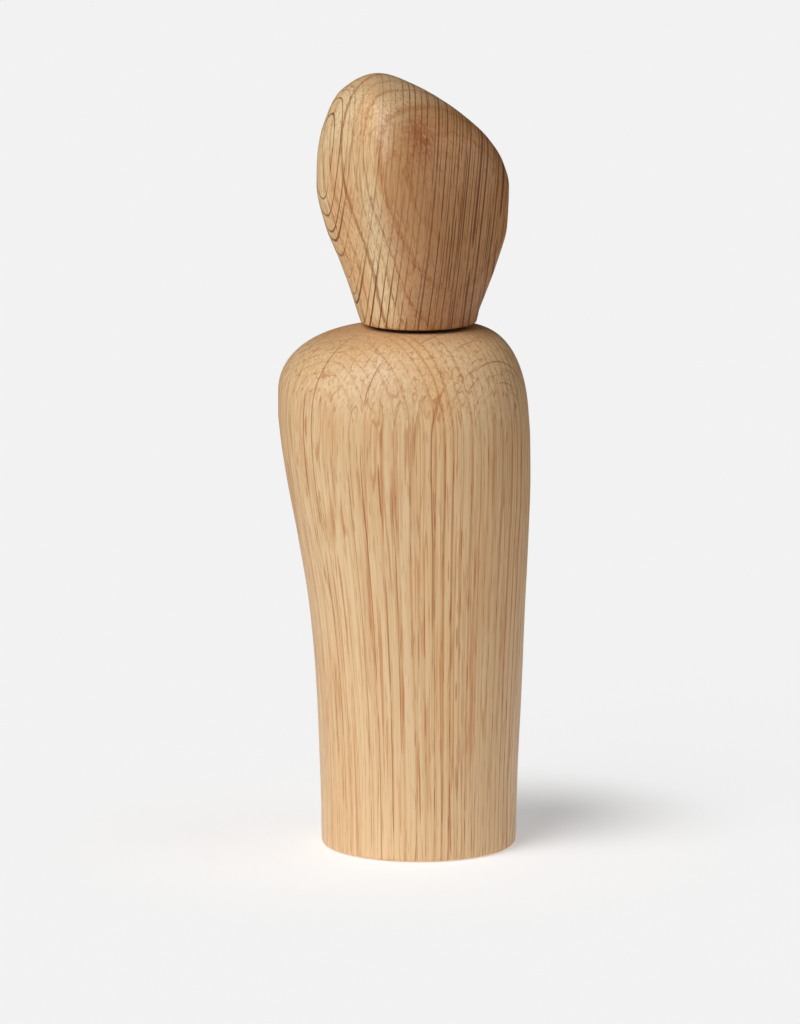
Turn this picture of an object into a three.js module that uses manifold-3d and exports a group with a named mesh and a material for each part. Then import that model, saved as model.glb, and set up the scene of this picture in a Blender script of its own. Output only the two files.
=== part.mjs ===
// Figure-shaped pepper mill: a sculpted oak body, a faceted oak head and the
// ceramic grinder, drive shaft and turning insert between them.
// Millimetres, +Z up, floor at z = 0. The figure faces -Y.
import * as THREE from 'three';
import { mergeVertices } from 'three/addons/utils/BufferGeometryUtils.js';
import Module from 'manifold-3d';

const wasm = await Module();
wasm.setup();

// ---------------------------------------------------------------- dimensions
const AXIS_X = 3.6;          // mill axis; the origin is under the middle of the box
const GAP = 0.3;             // clearance between touching pieces
const SEGS = 48;             // facets round the turned pieces

// body
const BODY_TOP = 134.0;      // seat round the neck
const RECESS_R = 20.5;       // grinder recess in the foot
const RECESS_TOP = 24.0;
const CHAMBER_R = 13.0;      // peppercorn chamber
const CHAMBER_TOP = 112.0;
const NECK_R = 10.8;         // filling neck
const SHOULDER_R = 12.0;     // the shoulder curve starts here
// outline: z, left, right, front, back, section exponent
const BODY = [
  [0, 24.3, 24.3, 24.3, 24.3, 2.0],
  [0.8, 24.85, 24.9, 24.85, 24.85, 2.0],
  [10, 25.0, 25.2, 25.0, 25.0, 2.0],
  [20, 25.3, 25.5, 25.15, 25.1, 2.02],
  [40, 26.1, 26.4, 25.7, 25.5, 2.08],
  [60, 27.7, 27.15, 26.7, 26.4, 2.15],
  [80, 30.8, 28.05, 28.0, 27.6, 2.22],
  [95, 33.6, 28.5, 29.1, 28.6, 2.28],
  [105, 35.1, 28.4, 29.5, 29.0, 2.3],
  [111, 35.75, 28.15, 29.5, 29.0, 2.3],
];
// shoulder of each side: radius where it starts, z where it ends, exponent
const SHOULDER = [
  [12.0, 117.5, 2.05],   // left
  [12.0, 106.0, 2.4],   // right
  [13.2, 110.0, 1.9],    // front
  [12.0, 96.0, 1.8],     // back
];

// head
const HEAD_Z = 135.0;        // underside
const HEAD_TOP = 198.5;
const HEAD_BORE_R = 5.5;
const HEAD_BORE_TOP = 162.0;
// outline: z, left, right, front, back, ridge x, facet strength, slope facet
const HEAD = [
  [135, 14.2, 14.2, 14.2, 14.2, 0.0, 0.0, 1.5],
  [135.6, 14.8, 14.75, 14.8, 14.8, 0.0, 0.0, 1.5],
  [138, 15.7, 15.3, 15.7, 15.6, 0.7, 0.1, 1.5],
  [142, 16.95, 16.8, 17.0, 16.8, 1.3, 0.35, 1.5],
  [150, 19.8, 19.7, 19.4, 18.8, 1.2, 0.75, 1.5],
  [160, 23.8, 22.4, 21.8, 20.6, -0.8, 1.0, 1.45],
  [170, 25.9, 22.85, 22.9, 21.2, -3.4, 1.0, 1.2],
  [176, 25.8, 21.35, 22.4, 20.8, -4.8, 1.0, 1.05],
  [182, 25.05, 17.6, 21.0, 19.4, -6.2, 1.0, 0.95],
  [188, 23.2, 11.15, 18.3, 16.8, -7.6, 1.0, 0.9],
  [193, 20.7, 3.8, 14.2, 13.2, -8.9, 0.9, 0.9],
  [196.5, 16.6, -3.15, 8.4, 7.8, -10.0, 0.7, 0.9],
  [198.5, 10.5, -10.5, 0, 0, -10.5, 0.5, 0.9],
];
const FACETS = [[-54, 1.0], [38, 1.0], [128, 1.04], [-128, 1.04]];
const FACET_P = 4.6;

// grinder
const HOUSING_R = 20.1, HOUSING_Z0 = 2.0, HOUSING_Z1 = 23.7;
const HOUSING_BORE_R = 17.9, FLANGE_Z = 19.5, FLANGE_R = 12.5;
const ARM_W = 3.0, HUB_R = 6.2, HUB_TOP = 24.7;
const SCREW_CIRCLE_R = 15.6;
const STATOR_R = 17.5, STATOR_Z0 = 6.2, STATOR_Z1 = 19.2;
const KEY_W = 1.6, KEYWAY_W = 2.2;
const TEETH = 14;

// shaft
const SHAFT_SQ = 5.5, SHAFT_TOP = 158.0, ROTOR_SQ = 4.0, JOURNAL_R = 2.9;

// ---------------------------------------------------------------- helpers
function pchip(xs, ys, x) {
  const n = xs.length;
  const h = [], d = [];
  for (let i = 0; i < n - 1; i++) { h.push(xs[i + 1] - xs[i]); d.push((ys[i + 1] - ys[i]) / h[i]); }
  const m = new Array(n).fill(0);
  m[0] = d[0]; m[n - 1] = d[n - 2];
  for (let i = 1; i < n - 1; i++) {
    if (d[i - 1] * d[i] > 0) {
      const w1 = 2 * h[i] + h[i - 1], w2 = h[i] + 2 * h[i - 1];
      m[i] = (w1 + w2) / (w1 / d[i - 1] + w2 / d[i]);
    }
  }
  let i = 0;
  while (i < n - 2 && x >= xs[i + 1]) i++;
  const t = Math.min(1, Math.max(0, (x - xs[i]) / h[i]));
  return ys[i] * (1 + 2 * t) * (1 - t) ** 2 + h[i] * m[i] * t * (1 - t) ** 2
    + ys[i + 1] * t * t * (3 - 2 * t) + h[i] * m[i + 1] * t * t * (t - 1);
}
const column = (table, k) => table.map((row) => row[k]);

// point on the body's outline at height z, azimuth phi (0 = front, 90 = right)
function bodyPoint(phi, z) {
  const zc = Math.min(z, 111);
  const zs = column(BODY, 0);
  const side = [1, 2, 3, 4].map((k, i) => {
    const base = pchip(zs, column(BODY, k), zc);
    const [r0, z0, n] = SHOULDER[i];
    if (z <= z0) return base;
    const c = Math.min(1, (z - z0) / (BODY_TOP - z0));
    return r0 + (base - r0) * Math.max(0, 1 - c ** n) ** (1 / n);
  });
  let n = pchip(zs, column(BODY, 5), zc);
  if (z > 111) n = 2 + (n - 2) * Math.sqrt(Math.max(0, 1 - ((z - 111) / (BODY_TOP - 111)) ** 2));
  const s = Math.sin(phi), c = Math.cos(phi);
  const ax = s >= 0 ? side[1] : side[0];
  const ay = c >= 0 ? side[2] : side[3];
  return [
    ax * Math.sign(s) * Math.abs(s) ** (2 / n),
    -ay * Math.sign(c) * Math.abs(c) ** (2 / n),
    z,
  ];
}

// ring of head points at height z: a rounded facet section, warped so that its
// extents and its front ridge land where the outline table says
function headRing(z, segs) {
  const u = (v) => -Math.sqrt(Math.max(0, HEAD_TOP - v));
  const us = column(HEAD, 0).map(u);
  const [L, R, F, B, xr, w, dR] = [1, 2, 3, 4, 5, 6, 7].map((k) => pchip(us, column(HEAD, k), u(z)));
  const planes = [...FACETS, [90, dR]].map(([a, d]) => {
    const t = a * Math.PI / 180;
    return [Math.sin(t) / d, -Math.cos(t) / d];
  });
  const raw = [];
  const NF = 720;
  const at = (phi) => {
    const ux = Math.sin(phi), uy = -Math.cos(phi);
    let acc = 0;
    for (const [nx, ny] of planes) acc += Math.max(0, nx * ux + ny * uy) ** FACET_P;
    const r = acc ** (-1 / FACET_P);
    return [r * ux, r * uy];
  };
  for (let i = 0; i < NF; i++) raw.push(at(2 * Math.PI * i / NF));
  const xl = Math.min(...raw.map((p) => p[0])), xh = Math.max(...raw.map((p) => p[0]));
  const yl = Math.min(...raw.map((p) => p[1])), yh = Math.max(...raw.map((p) => p[1]));
  const xF = raw.find((p) => p[1] === yl)[0];
  const cx = (R - L) / 2, a = (R + L) / 2;
  const xf = 2 * (xF - xl) / (xh - xl) - 1;
  const target = Math.min(0.8, Math.max(-0.8, (xr - cx) / Math.max(a, 1e-6)));
  const k = Math.min(0.45, Math.max(-0.45, (target - xf) / (1 - xf * xf)));
  const ring = [];
  for (let i = 0; i < segs; i++) {
    const phi = 2 * Math.PI * i / segs;
    const [x, y] = at(phi);
    const xn = 2 * (x - xl) / (xh - xl) - 1;
    const X = cx + a * (xn + k * (1 - xn * xn));
    const Y = y < 0 ? -y / yl * F : y / yh * B;
    const Xc = cx + a * Math.sin(phi);
    const Yc = Math.cos(phi) >= 0 ? -Math.cos(phi) * F : -Math.cos(phi) * B;
    ring.push([Xc + (X - Xc) * w, Yc + (Y - Yc) * w, z]);
  }
  return ring;
}

// turned solid about +Z. profile = [r, z, optional placer(i, phi) -> [x, y, z]]
function turned(profile, segs = SEGS) {
  const pts = profile.map(([r, z]) => new THREE.Vector2(r, z));
  const g = new THREE.LatheGeometry(pts, segs);
  const pos = g.attributes.position;
  const n = profile.length;
  for (let i = 0; i <= segs; i++) {
    const phi = 2 * Math.PI * (i % segs) / segs;
    for (let j = 0; j < n; j++) {
      const [r, z, place] = profile[j];
      const p = place ? place(i % segs, phi) : [r * Math.sin(phi), -r * Math.cos(phi), z];
      pos.setXYZ(i * n + j, p[0], p[1], p[2]);
    }
  }
  return clean(g);
}

function clean(g) {
  g.deleteAttribute('normal');
  g.deleteAttribute('uv');
  const m = mergeVertices(g, 1e-4);
  const idx = m.index.array, keep = [];
  for (let i = 0; i < idx.length; i += 3) {
    const [a, b, c] = [idx[i], idx[i + 1], idx[i + 2]];
    if (a !== b && b !== c && a !== c) keep.push(a, b, c);
  }
  m.setIndex(keep);
  return m;
}

const toSolid = (g) => new wasm.Manifold(new wasm.Mesh({
  numProp: 3,
  vertProperties: Float32Array.from(g.attributes.position.array),
  triVerts: Uint32Array.from(g.index.array),
}));
function toGeometry(solid) {
  const mesh = solid.getMesh();
  const g = new THREE.BufferGeometry();
  g.setAttribute('position', new THREE.BufferAttribute(Float32Array.from(mesh.vertProperties), 3));
  g.setIndex(Array.from(mesh.triVerts));
  return g;
}
const polar = (r, deg) => [r * Math.sin(deg * Math.PI / 180), -r * Math.cos(deg * Math.PI / 180)];

function pin(r, z0, z1, x = 0, y = 0, segs = 16) {
  const g = new THREE.CylinderGeometry(r, r, z1 - z0, segs);
  g.rotateX(Math.PI / 2);
  g.translate(x, y, (z0 + z1) / 2);
  return clean(g);
}
function block(w, d, z0, z1, x = 0, y = 0, deg = 0) {
  const g = new THREE.BoxGeometry(w, d, z1 - z0);
  g.translate(0, 0, (z0 + z1) / 2);
  g.translate(x, y, 0);
  g.rotateZ(deg * Math.PI / 180);
  return clean(g);
}
const ringProfile = (r0, r1, z0, z1) => [[r0, z0], [r1, z0], [r1, z1], [r0, z1], [r0, z0]];

// ---------------------------------------------------------------- group
const group = new THREE.Group();
group.name = 'figure_mill';
function add(name, geometry, color, rough = 0.6, metal = 0) {
  let g = geometry.index ? geometry : clean(geometry);
  g = g.toNonIndexed();
  g.translate(AXIS_X, 0, 0);
  g.computeVertexNormals();
  const mesh = new THREE.Mesh(g, new THREE.MeshStandardMaterial({ color, roughness: rough, metalness: metal }));
  mesh.name = name;
  group.add(mesh);
}
const OAK = 0xd6a873, OAK_DARK = 0xc08c58, BLACK = 0x1c1c1e, CERAMIC = 0xe9e4da, STEEL = 0xb8babd, ALU = 0xc6c8ca;

// ---------------------------------------------------------------- body
{
  const ringsLow = [0, 0.8, 10, 25, 40, 55, 70, 85, 96, 105];
  const ringsTop = [];
  const NS = 12;
  for (let i = 0; i < NS; i++) {
    const t = Math.PI / 2 * (1 - i / NS);
    ringsTop.push(111 + (BODY_TOP - 111) * Math.cos(t));
  }
  const outer = [...ringsLow, ...ringsTop, BODY_TOP].map((z) => [1, z, (i, phi) => bodyPoint(phi, z)]);
  const inner = [
    [NECK_R, BODY_TOP], [NECK_R, CHAMBER_TOP], [CHAMBER_R, CHAMBER_TOP - 2.2],
    [CHAMBER_R, RECESS_TOP], [RECESS_R, RECESS_TOP], [RECESS_R, 0],
  ];
  let solid = toSolid(turned([...outer, ...inner, outer[0]]));
  for (const deg of [30, 150, 270]) {
    const [x, y] = polar(SCREW_CIRCLE_R, deg);
    solid = solid.subtract(toSolid(pin(1.4, RECESS_TOP - 1, 33.5, x, y, 12)));
  }
  add('body_shell', toGeometry(solid), OAK, 0.55);
}

// ---------------------------------------------------------------- grinder housing
{
  let solid = toSolid(turned([
    [HOUSING_BORE_R, HOUSING_Z0], [HOUSING_R - 0.5, HOUSING_Z0], [HOUSING_R, HOUSING_Z0 + 0.5],
    [HOUSING_R, HOUSING_Z1], [FLANGE_R, HOUSING_Z1], [FLANGE_R, FLANGE_Z], [HOUSING_BORE_R, FLANGE_Z],
    [HOUSING_BORE_R, HOUSING_Z0],
  ]));
  for (const deg of [0, 120, 240]) {
    solid = solid.add(toSolid(block(ARM_W, 7.7, 20.3, HOUSING_Z1, 0, -(5.3 + 3.85), deg)));
    solid = solid.add(toSolid(block(KEY_W, 1.5, 6.6, FLANGE_Z + 0.4, 0, -(16.9 + 0.75), deg + 60)));
  }
  solid = solid.add(toSolid(turned([
    [3.5, 20.3], [HUB_R, 20.3], [HUB_R, HUB_TOP], [4.5, HUB_TOP], [4.5, 21.2], [3.5, 21.2], [3.5, 20.3],
  ], 32)));
  for (const deg of [30, 150, 270]) {
    const [x, y] = polar(SCREW_CIRCLE_R, deg);
    solid = solid.subtract(toSolid(pin(1.4, 19, 25, x, y, 12)));
    solid = solid.subtract(toSolid(pin(2.2, 19, 21.5, x, y, 16)));
  }
  add('grinder_housing', toGeometry(solid), BLACK, 0.5);
}
[30, 150, 270].forEach((deg, k) => {
  const [x, y] = polar(SCREW_CIRCLE_R, deg);
  const g = turned([[0, 19.8], [1.3, 19.8], [1.9, 20.3], [1.9, 21.2], [1.1, 21.2], [1.1, 31.4], [0, 32.6]], 12);
  g.translate(x, y, 0);
  add(`housing_screw_${k + 1}`, g, STEEL, 0.35, 1);
});
add('shaft_bush', turned(ringProfile(3.2, 4.2, 21.5, 24.6), 24), 0xb98a4a, 0.4, 1);
add('thrust_washer', turned(ringProfile(3.3, 5.8, 25.0, 25.5), 24), STEEL, 0.35, 1);

// ---------------------------------------------------------------- stator and its ring
const toothed = (mid, amp, twist) => (i, phi, z) => {
  const k = Math.cos(TEETH * (phi + twist));
  const r = mid + amp * Math.sign(k) * Math.abs(k) ** 0.6;
  return [r * Math.sin(phi), -r * Math.cos(phi), z];
};
{
  const segs = TEETH * 4;
  const row = (z, tip, valley, twist) => [1, z, (i, phi) => toothed((tip + valley) / 2, (valley - tip) / 2, twist)(i, phi, z)];
  let solid = toSolid(turned([
    row(STATOR_Z0, 12.2, 12.7, 0), [STATOR_R, STATOR_Z0], [STATOR_R, STATOR_Z1],
    row(STATOR_Z1, 12.6, 14.2, 0.1), row(12, 11.5, 12.7, 0.04), row(STATOR_Z0, 12.2, 12.7, 0),
  ], segs));
  for (const deg of [60, 180, 300]) {
    solid = solid.subtract(toSolid(block(KEYWAY_W, 3.0, 5, 21, 0, -(16.5 + 1.5), deg)));
  }
  add('stator_ring', toGeometry(solid), CERAMIC, 0.5);
}
add('retaining_ring', turned([
  [12.9, 3.2], [17.1, 3.2], [17.5, 3.6], [17.5, 5.9], [12.9, 5.9], [12.9, 3.2],
], 40), BLACK, 0.5);

// ---------------------------------------------------------------- shaft, spring, clip
{
  let solid = toSolid(turned([
    [0, 1.2], [1.5, 1.2], [1.8, 1.5], [1.8, 6], [0, 6],
  ], 16));
  solid = solid.add(toSolid(block(ROTOR_SQ, ROTOR_SQ, 5, 20.5)));
  solid = solid.add(toSolid(turned([
    [0, 20.1], [JOURNAL_R, 20.1], [JOURNAL_R, 25.8], [4.6, 25.8], [4.6, 27.3], [0, 27.3],
  ], 24)));
  solid = solid.add(toSolid(block(SHAFT_SQ, SHAFT_SQ, 27, SHAFT_TOP - 1)));
  const tip = new THREE.CylinderGeometry((SHAFT_SQ - 1.4) / Math.SQRT2, SHAFT_SQ / Math.SQRT2, 1, 4);
  tip.rotateY(Math.PI / 4);
  tip.rotateX(Math.PI / 2);
  tip.translate(0, 0, SHAFT_TOP - 0.5);
  solid = solid.add(toSolid(clean(tip)));
  add('drive_shaft', toGeometry(solid), ALU, 0.35, 1);
}
{
  const turns = 5, z0 = 12.72, z1 = 19.55, rm = 3.9, wire = 0.4;
  const pts = [];
  const steps = turns * 12;
  for (let i = 0; i <= steps; i++) {
    const a = 2 * Math.PI * i / 12;
    pts.push(new THREE.Vector3(rm * Math.cos(a), rm * Math.sin(a), z0 + (z1 - z0) * i / steps));
  }
  const curve = new THREE.CatmullRomCurve3(pts);
  const circle = new THREE.Shape();
  circle.absarc(0, 0, wire, 0, 2 * Math.PI, false);
  const g = new THREE.ExtrudeGeometry(circle, { steps, extrudePath: curve, curveSegments: 6, bevelEnabled: false });
  add('rotor_spring', clean(g), STEEL, 0.3, 1);
}
add('end_clip', turned(ringProfile(2.1, 3.2, 1.6, 2.0), 20), STEEL, 0.35, 1);

// ---------------------------------------------------------------- rotor, carrier, knob
{
  const segs = TEETH * 4;
  const row = (z, tip, valley, twist) => [1, z, (i, phi) => toothed((tip + valley) / 2, (tip - valley) / 2, twist)(i, phi, z)];
  add('rotor_cone', turned([
    [5.0, 6.0], row(6.0, 11.7, 11.1, 0), row(9.0, 11.2, 10.2, -0.05), row(12.5, 10.2, 8.6, -0.12),
    row(17.6, 7.4, 6.0, -0.28), [5.0, 17.6], [5.0, 6.0],
  ], segs), CERAMIC, 0.5);
}
{
  let solid = toSolid(turned([[0, 4.6], [7.5, 4.6], [7.5, 5.7], [4.7, 5.7], [4.7, 12.0], [0, 12.0]], 24));
  solid = solid.subtract(toSolid(block(ROTOR_SQ + 2 * GAP, ROTOR_SQ + 2 * GAP, 4, 13)));
  add('rotor_carrier', toGeometry(solid), BLACK, 0.5);
}
{
  const ribs = 14, segs = ribs * 4;
  const rib = (z, r) => [r, z, (i, phi) => {
    const rr = r - (i % 4 === 0 ? 0.7 : 0);
    return [rr * Math.sin(phi), -rr * Math.cos(phi), z];
  }];
  add('adjuster_knob', turned([
    [4.2, 1.2], rib(1.2, 9.1), rib(1.6, 9.5), rib(3.9, 9.5), [8.4, 4.3],
    [2.1, 4.3], [2.1, 2.9], [4.2, 2.9], [4.2, 1.2],
  ], segs), BLACK, 0.5);
}

// ---------------------------------------------------------------- head
{
  const levels = [HEAD_Z, 135.6, 138, 142, 147, 152, 157.5, 163, 168.5, 174, 179.5, 184.5, 188.5, 192, 194.8, 197, 198.1];
  const outer = levels.map((z) => {
    const ring = headRing(z, SEGS);
    return [1, z, (i) => ring[i]];
  });
  outer.push([0, HEAD_TOP, () => [-10.5, 0, HEAD_TOP]]);
  let solid = toSolid(turned([[0, HEAD_BORE_TOP], [HEAD_BORE_R, HEAD_BORE_TOP], [HEAD_BORE_R, HEAD_Z], ...outer]));
  for (const s of [-1, 1]) solid = solid.subtract(toSolid(pin(1.3, HEAD_Z - 1, 147.5, s * 7.6, 0, 12)));
  add('head_block', toGeometry(solid), OAK_DARK, 0.55);
}
{
  let solid = toSolid(turned([
    [0, 122.5], [9.7, 122.5], [10.2, 123.0], [10.2, 127.0], [9.4, 127.0], [9.4, 129.0], [10.2, 129.0],
    [10.2, 134.25], [12.6, 134.25], [12.6, 134.75], [5.2, 134.75], [5.2, 152.0], [0, 152.0],
  ], 40));
  solid = solid.subtract(toSolid(block(SHAFT_SQ + 2 * GAP, SHAFT_SQ + 2 * GAP, 120, 155)));
  for (const s of [-1, 1]) {
    solid = solid.subtract(toSolid(pin(1.3, 121, 136, s * 7.6, 0, 12)));
    solid = solid.subtract(toSolid(pin(2.0, 121, 125, s * 7.6, 0, 16)));
  }
  add('head_insert', toGeometry(solid), BLACK, 0.45);
}
{
  const pts = [];
  for (let i = 0; i <= 8; i++) {
    const t = 2 * Math.PI * i / 8 + Math.PI / 8;
    pts.push([10.05 + 0.42 * Math.cos(t), 128 + 0.6 * Math.sin(t)]);
  }
  pts[8] = pts[0];
  add('head_o_ring', turned(pts, 40), 0x111111, 0.7);
}
[-1, 1].forEach((s, k) => {
  const g = turned([[0, 122.9], [1.2, 122.9], [1.7, 123.4], [1.7, 124.7], [1.0, 124.7], [1.0, 145.4], [0, 146.6]], 12);
  g.translate(s * 7.6, 0, 0);
  add(`head_screw_${k + 1}`, g, STEEL, 0.35, 1);
});

export default group;
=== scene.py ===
# A figure-shaped pepper mill: sculpted oak body and head, ceramic grinder in the foot.
import math
import bpy
import bmesh
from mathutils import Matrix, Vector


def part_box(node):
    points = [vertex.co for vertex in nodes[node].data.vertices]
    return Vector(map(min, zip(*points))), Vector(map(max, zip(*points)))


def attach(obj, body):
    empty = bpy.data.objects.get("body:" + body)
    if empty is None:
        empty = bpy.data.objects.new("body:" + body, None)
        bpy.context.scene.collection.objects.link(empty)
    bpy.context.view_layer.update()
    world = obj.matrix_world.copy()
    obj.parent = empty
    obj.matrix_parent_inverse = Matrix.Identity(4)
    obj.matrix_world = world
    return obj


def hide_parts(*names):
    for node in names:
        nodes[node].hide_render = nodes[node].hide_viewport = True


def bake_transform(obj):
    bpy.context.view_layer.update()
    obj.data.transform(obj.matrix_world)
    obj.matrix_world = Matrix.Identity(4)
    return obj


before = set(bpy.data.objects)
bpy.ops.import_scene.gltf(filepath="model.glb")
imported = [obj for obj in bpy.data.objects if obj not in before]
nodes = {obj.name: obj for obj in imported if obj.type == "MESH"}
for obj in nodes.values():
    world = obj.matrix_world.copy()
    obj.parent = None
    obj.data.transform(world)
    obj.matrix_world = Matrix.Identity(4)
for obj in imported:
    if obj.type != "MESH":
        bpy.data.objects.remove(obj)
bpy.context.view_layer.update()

MM = 0.001
_lo, _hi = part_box("drive_shaft")
AX = (_lo.x + _hi.x) / 2 / MM           # mill axis, mm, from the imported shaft
BODY_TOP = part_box("body_shell")[1].z / MM
HEAD_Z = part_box("head_block")[0].z / MM
HEAD_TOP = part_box("head_block")[1].z / MM

# ------------------------------------------------------------------ shape tables (same as the CAD)
BODY = [
    (0, 24.3, 24.3, 24.3, 24.3, 2.0), (0.8, 24.85, 24.9, 24.85, 24.85, 2.0),
    (10, 25.0, 25.2, 25.0, 25.0, 2.0), (20, 25.3, 25.5, 25.15, 25.1, 2.02),
    (40, 26.1, 26.4, 25.7, 25.5, 2.08), (60, 27.7, 27.15, 26.7, 26.4, 2.15),
    (80, 30.8, 28.05, 28.0, 27.6, 2.22), (95, 33.6, 28.5, 29.1, 28.6, 2.28),
    (105, 35.1, 28.4, 29.5, 29.0, 2.3), (111, 35.75, 28.15, 29.5, 29.0, 2.3),
]
SHOULDER = [(12.0, 117.5, 2.05), (12.0, 106.0, 2.4), (13.2, 110.0, 1.9), (12.0, 96.0, 1.8)]
HEAD = [
    (135, 14.2, 14.2, 14.2, 14.2, 0.0, 0.0, 1.5), (135.6, 14.8, 14.75, 14.8, 14.8, 0.0, 0.0, 1.5),
    (138, 15.7, 15.3, 15.7, 15.6, 0.7, 0.1, 1.5), (142, 16.95, 16.8, 17.0, 16.8, 1.3, 0.35, 1.5),
    (150, 19.8, 19.7, 19.4, 18.8, 1.2, 0.75, 1.5), (160, 23.8, 22.4, 21.8, 20.6, -0.8, 1.0, 1.45),
    (170, 25.9, 22.85, 22.9, 21.2, -3.4, 1.0, 1.2), (176, 25.8, 21.35, 22.4, 20.8, -4.8, 1.0, 1.05),
    (182, 25.05, 17.6, 21.0, 19.4, -6.2, 1.0, 0.95), (188, 23.2, 11.15, 18.3, 16.8, -7.6, 1.0, 0.9),
    (193, 20.7, 3.8, 14.2, 13.2, -8.9, 0.9, 0.9), (196.5, 16.6, -3.15, 8.4, 7.8, -10.0, 0.7, 0.9),
    (198.5, 10.5, -10.5, 0, 0, -10.5, 0.5, 0.9),
]
FACETS = [(-54, 1.0), (38, 1.0), (128, 1.04), (-128, 1.04)]
FACET_P = 4.6


def pchip(xs, ys, x):
    n = len(xs)
    h = [xs[i + 1] - xs[i] for i in range(n - 1)]
    d = [(ys[i + 1] - ys[i]) / h[i] for i in range(n - 1)]
    m = [0.0] * n
    m[0], m[-1] = d[0], d[-1]
    for i in range(1, n - 1):
        if d[i - 1] * d[i] > 0:
            w1, w2 = 2 * h[i] + h[i - 1], h[i] + 2 * h[i - 1]
            m[i] = (w1 + w2) / (w1 / d[i - 1] + w2 / d[i])
    i = 0
    while i < n - 2 and x >= xs[i + 1]:
        i += 1
    t = min(1.0, max(0.0, (x - xs[i]) / h[i]))
    return (ys[i] * (1 + 2 * t) * (1 - t) ** 2 + h[i] * m[i] * t * (1 - t) ** 2
            + ys[i + 1] * t * t * (3 - 2 * t) + h[i] * m[i + 1] * t * t * (t - 1))


def col(table, k):
    return [r[k] for r in table]


def body_ring(z, segs):
    zc = min(z, 111.0)
    zs = col(BODY, 0)
    side = []
    for k in range(4):
        base = pchip(zs, col(BODY, k + 1), zc)
        r0, z0, n = SHOULDER[k]
        if z > z0:
            c = min(1.0, (z - z0) / (BODY_TOP - z0))
            base = r0 + (base - r0) * max(0.0, 1 - c ** n) ** (1 / n)
        side.append(base)
    n = pchip(zs, col(BODY, 5), zc)
    if z > 111:
        n = 2 + (n - 2) * math.sqrt(max(0.0, 1 - ((z - 111) / (BODY_TOP - 111)) ** 2))
    out = []
    for i in range(segs):
        phi = 2 * math.pi * i / segs
        s, c = math.sin(phi), math.cos(phi)
        ax = side[1] if s >= 0 else side[0]
        ay = side[2] if c >= 0 else side[3]
        out.append((ax * math.copysign(abs(s) ** (2 / n), s), -ay * math.copysign(abs(c) ** (2 / n), c), z))
    return out


def head_ring(z, segs):
    u = lambda v: -math.sqrt(max(0.0, HEAD_TOP - v))
    us = [u(r[0]) for r in HEAD]
    L, R, F, B, xr, w, dR = [pchip(us, col(HEAD, k), u(z)) for k in range(1, 8)]
    planes = []
    for a, d in FACETS + [(90, dR)]:
        t = math.radians(a)
        planes.append((math.sin(t) / d, -math.cos(t) / d))

    def at(phi):
        ux, uy = math.sin(phi), -math.cos(phi)
        acc = 0.0
        for nx, ny in planes:
            q = nx * ux + ny * uy
            if q > 0:
                acc += q ** FACET_P
        r = acc ** (-1 / FACET_P)
        return r * ux, r * uy

    raw = [at(2 * math.pi * i / 720) for i in range(720)]
    xl, xh = min(p[0] for p in raw), max(p[0] for p in raw)
    yl, yh = min(p[1] for p in raw), max(p[1] for p in raw)
    x_front = next(p[0] for p in raw if p[1] == yl)
    cx, a = (R - L) / 2, (R + L) / 2
    xf = 2 * (x_front - xl) / (xh - xl) - 1
    target = min(0.8, max(-0.8, (xr - cx) / max(a, 1e-6)))
    k = min(0.45, max(-0.45, (target - xf) / (1 - xf * xf)))
    out = []
    for i in range(segs):
        phi = 2 * math.pi * i / segs
        x, y = at(phi)
        xn = 2 * (x - xl) / (xh - xl) - 1
        X = cx + a * (xn + k * (1 - xn * xn))
        Y = -y / yl * F if y < 0 else y / yh * B
        Xc = cx + a * math.sin(phi)
        Yc = -math.cos(phi) * (F if math.cos(phi) >= 0 else B)
        out.append((Xc + (X - Xc) * w, Yc + (Y - Yc) * w, z))
    return out


# ------------------------------------------------------------------ mesh helpers
def circle(r, z, segs):
    return [(r * math.sin(2 * math.pi * i / segs), -r * math.cos(2 * math.pi * i / segs), z) for i in range(segs)]


def polar(r, deg):
    return r * math.sin(math.radians(deg)), -r * math.cos(math.radians(deg))


def square(h, z, segs):
    """ring of points on a slightly rounded square of half width h"""
    out = []
    for i in range(segs):
        phi = 2 * math.pi * i / segs
        s, c = math.sin(phi), math.cos(phi)
        p = 14.0
        r = h / (abs(s) ** p + abs(c) ** p) ** (1 / p)
        out.append((r * s, -r * c, z))
    return out


def skin(name, rings, closed=False, centre=None):
    """a closed mesh over the rings (lists of points in mm about the mill axis, or one point for a pole)"""
    verts, index = [], []
    ox, oy = centre or (0.0, 0.0)
    for ring in rings:
        index.append(list(range(len(verts), len(verts) + len(ring))))
        verts.extend(((AX + ox + x) * MM, (oy + y) * MM, z * MM) for x, y, z in ring)
    faces = []
    pairs = list(zip(index, index[1:]))
    if closed:
        pairs.append((index[-1], index[0]))
    for a, b in pairs:
        if len(a) == 1 and len(b) == 1:
            continue
        n = max(len(a), len(b))
        for i in range(n):
            j = (i + 1) % n
            if len(a) == 1:
                faces.append((a[0], b[j], b[i]))
            elif len(b) == 1:
                faces.append((a[i], a[j], b[0]))
            else:
                faces.append((a[i], a[j], b[j], b[i]))
    me = bpy.data.meshes.new(name)
    me.from_pydata(verts, [], faces)
    me.update()
    ob = bpy.data.objects.new(name, me)
    bpy.context.scene.collection.objects.link(ob)
    bm = bmesh.new()
    bm.from_mesh(me)
    bmesh.ops.recalc_face_normals(bm, faces=bm.faces)
    bm.to_mesh(me)
    bm.free()
    return ob


def loft(name, rings, body, replaced, mat, closed=False, centre=None):
    ob = skin(name, rings, closed, centre)
    finish_piece(ob, body, replaced, mat)
    return ob


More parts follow.
